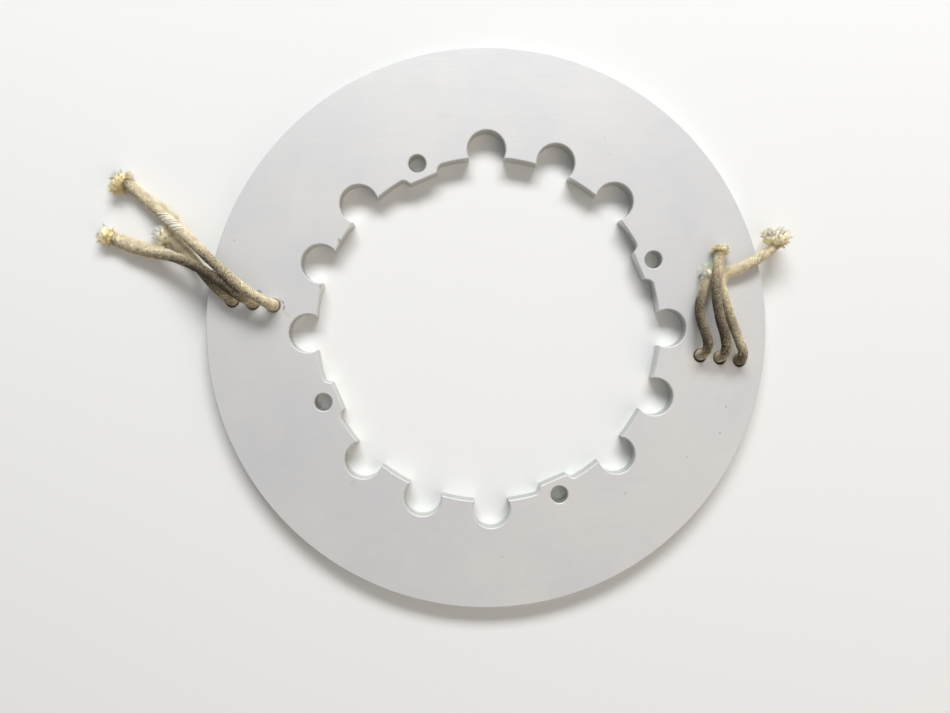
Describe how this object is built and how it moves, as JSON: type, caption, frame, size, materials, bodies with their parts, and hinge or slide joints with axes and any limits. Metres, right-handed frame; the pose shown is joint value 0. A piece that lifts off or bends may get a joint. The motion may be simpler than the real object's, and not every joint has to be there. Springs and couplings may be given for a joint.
{
  "type": "spinner bulkhead",
  "caption": "Flat aluminium spinner bulkhead ring with a notched bore, bolt holes on pads and short braided leads cut off near the face.",
  "frame": {"origin": "centre of the plate's back face, on which it lies", "axes": "+Z out of the front face, +Y to the top of the front view, +X to its right"},
  "size_m": [0.2497, 0.2096, 0.0168],
  "materials": {
    "plate": "satin machined, bare, lightly stained and scratched",
    "braid": "aged tan cotton or glass braid with pale frayed cut ends"
  },
  "bodies": {
    "root": {"bulkhead_plate": "plate", "lead_left_long": "braid", "lead_left_middle": "braid", "lead_left_short": "braid", "lead_right_short": "braid", "lead_right_middle": "braid", "lead_right_long": "braid"}
  },
  "joints": []
}
